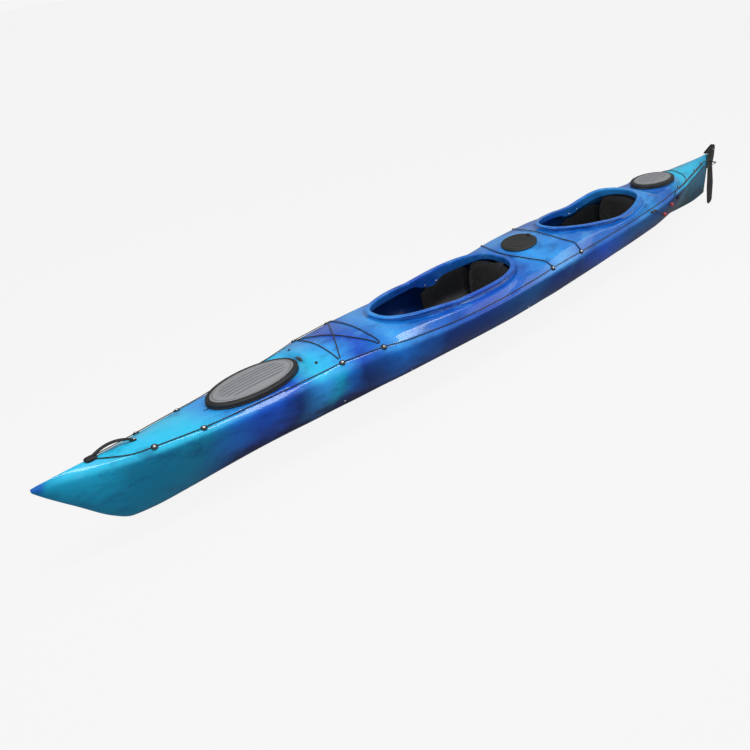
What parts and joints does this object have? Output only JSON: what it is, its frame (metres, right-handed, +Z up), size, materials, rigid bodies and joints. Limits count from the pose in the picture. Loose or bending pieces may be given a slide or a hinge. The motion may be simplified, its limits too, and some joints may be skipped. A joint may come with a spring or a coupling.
{
  "type": "tandem sea kayak",
  "caption": "Long moulded touring kayak for a pair of paddlers, with hatches, folding backrests, sliding foot braces, deck lines and a kick-up rudder.",
  "frame": {"origin": "on the flat of the keel amidships, where the boat rests", "axes": "+X to the bow, +Y to port, +Z up"},
  "size_m": [5.597, 0.644, 0.5263],
  "materials": {
    "hull_plastic": "rotomoulded polyethylene, blended blues",
    "black_rubber": "moulded rubber, satin",
    "hatch_plate": "fine grained grey plastic",
    "black_plastic": "satin black nylon",
    "seat_fabric": "black woven cover over foam",
    "bulkhead": "welded grey plastic plate",
    "deck_cord": "black braided cord",
    "red_ball": "red moulded plastic",
    "stainless": "stainless steel"
  },
  "bodies": {
    "boat": {"bow_bulkhead": "bulkhead", "bow_handle": "black_rubber", "foredeck_bungee": "deck_cord", "front_cross_bungee": "deck_cord", "front_foot_rail_port": "black_plastic", "front_foot_rail_starboard": "black_plastic", "front_seat_pad": "seat_fabric", "front_seat_pan": "black_plastic", "hull_shell": "hull_plastic", "lift_ball_port_1": "red_ball", "lift_ball_port_2": "red_ball", "lift_ball_starboard_1": "red_ball", "lift_ball_starboard_2": "red_ball", "lift_cleat_port": "black_plastic", "lift_cleat_starboard": "black_plastic", "line_guide_port_1": "black_plastic", "line_guide_port_2": "black_plastic", "line_guide_port_3": "black_plastic", "line_guide_port_4": "black_plastic", "line_guide_port_5": "black_plastic", "line_guide_port_6": "black_plastic", "line_guide_starboard_1": "black_plastic", "line_guide_starboard_2": "black_plastic", "line_guide_starboard_3": "black_plastic", "line_guide_starboard_4": "black_plastic", "line_guide_starboard_5": "black_plastic", "line_guide_starboard_6": "black_plastic", "perimeter_line_port": "deck_cord", "perimeter_line_starboard": "deck_cord", "rear_cross_bungee": "deck_cord", "rear_foot_rail_port": "black_plastic", "rear_foot_rail_starboard": "black_plastic", "rear_seat_pad": "seat_fabric", "rear_seat_pan": "black_plastic", "rudder_bracket": "black_plastic", "rudder_lift_line_port": "deck_cord", "rudder_lift_line_starboard": "deck_cord", "rudder_yaw_pin": "stainless", "steering_line_port": "deck_cord", "steering_line_starboard": "deck_cord", "stern_bulkhead": "bulkhead", "stern_cross_cord": "deck_cord", "stern_skid": "black_plastic"},
    "front_hatch_lid": {"front_hatch_cover": "black_rubber", "front_hatch_plate": "hatch_plate"},
    "rear_hatch_lid": {"rear_hatch_cover": "black_rubber", "rear_hatch_plate": "hatch_plate"},
    "day_hatch_lid": {"day_hatch_cover": "black_rubber"},
    "front_backrest_body": {"front_backrest": "seat_fabric"},
    "rear_backrest_body": {"rear_backrest": "seat_fabric"},
    "front_pedal_port": {"front_foot_pedal_port": "black_plastic"},
    "front_pedal_starboard": {"front_foot_pedal_starboard": "black_plastic"},
    "rear_carriage_port": {"rear_pedal_carriage_port": "black_plastic"},
    "rear_carriage_starboard": {"rear_pedal_carriage_starboard": "black_plastic"},
    "rear_toe_port": {"rear_toe_pedal_port": "black_plastic"},
    "rear_toe_starboard": {"rear_toe_pedal_starboard": "black_plastic"},
    "rudder_stock": {"rudder_head": "black_plastic", "rudder_blade_bolt": "stainless"},
    "rudder_foil": {"rudder_blade": "black_plastic"}
  },
  "joints": [
    {"name": "rudder_yaw", "type": "hinge", "parent": "boat", "child": "rudder_stock", "pos_m": [-2.75, 0, 0.23], "axis": [0, 0, 1], "range_deg": [-38, 38]},
    {"name": "rudder_flip", "type": "hinge", "parent": "rudder_stock", "child": "rudder_foil", "pos_m": [-2.806, 0, 0.29995], "axis": [0, 1, 0], "range_deg": [0, 256]},
    {"name": "front_backrest_fold", "type": "hinge", "parent": "boat", "child": "front_backrest_body", "pos_m": [-0.13575, 0, 0.049], "axis": [0, 1, 0], "range_deg": [0, 60]},
    {"name": "rear_backrest_fold", "type": "hinge", "parent": "boat", "child": "rear_backrest_body", "pos_m": [-1.50575, 0, 0.049], "axis": [0, 1, 0], "range_deg": [0, 60]},
    {"name": "front_hatch_lift", "type": "slide", "parent": "boat", "child": "front_hatch_lid", "axis": [0, 0, 1], "range_m": [0, 0.12]},
    {"name": "rear_hatch_lift", "type": "slide", "parent": "boat", "child": "rear_hatch_lid", "axis": [-0.045, 0, 0.999], "range_m": [0, 0.12]},
    {"name": "day_hatch_lift", "type": "slide", "parent": "boat", "child": "day_hatch_lid", "axis": [0.1133, 0, 0.9936], "range_m": [0, 0.1]},
    {"name": "front_pedal_slide_port", "type": "slide", "parent": "boat", "child": "front_pedal_port", "axis": [0.9963, -0.0811, 0.0295], "range_m": [-0.13, 0.13]},
    {"name": "rear_pedal_slide_port", "type": "slide", "parent": "boat", "child": "rear_carriage_port", "axis": [0.9979, 0.0568, 0.0321], "range_m": [-0.13, 0.13]},
    {"name": "front_pedal_slide_starboard", "type": "slide", "parent": "boat", "child": "front_pedal_starboard", "axis": [0.9963, 0.0811, 0.0295], "range_m": [-0.13, 0.13]},
    {"name": "rear_pedal_slide_starboard", "type": "slide", "parent": "boat", "child": "rear_carriage_starboard", "axis": [0.9979, -0.0568, 0.0321], "range_m": [-0.13, 0.13]},
    {"name": "toe_pedal_port", "type": "hinge", "parent": "rear_carriage_port", "child": "rear_toe_port", "pos_m": [-0.43142, 0.25703, 0.07798], "axis": [-0.0568, 0.9984, 0], "range_deg": [-18, 18]},
    {"name": "toe_pedal_starboard", "type": "hinge", "parent": "rear_carriage_starboard", "child": "rear_toe_starboard", "pos_m": [-0.43142, -0.25703, 0.07798], "axis": [0.0568, 0.9984, 0], "range_deg": [-18, 18]}
  ],
  "couplings": [
    {"joint": "toe_pedal_port", "follows": "rudder_yaw", "ratio": -0.45},
    {"joint": "toe_pedal_starboard", "follows": "rudder_yaw", "ratio": 0.45}
  ]
}
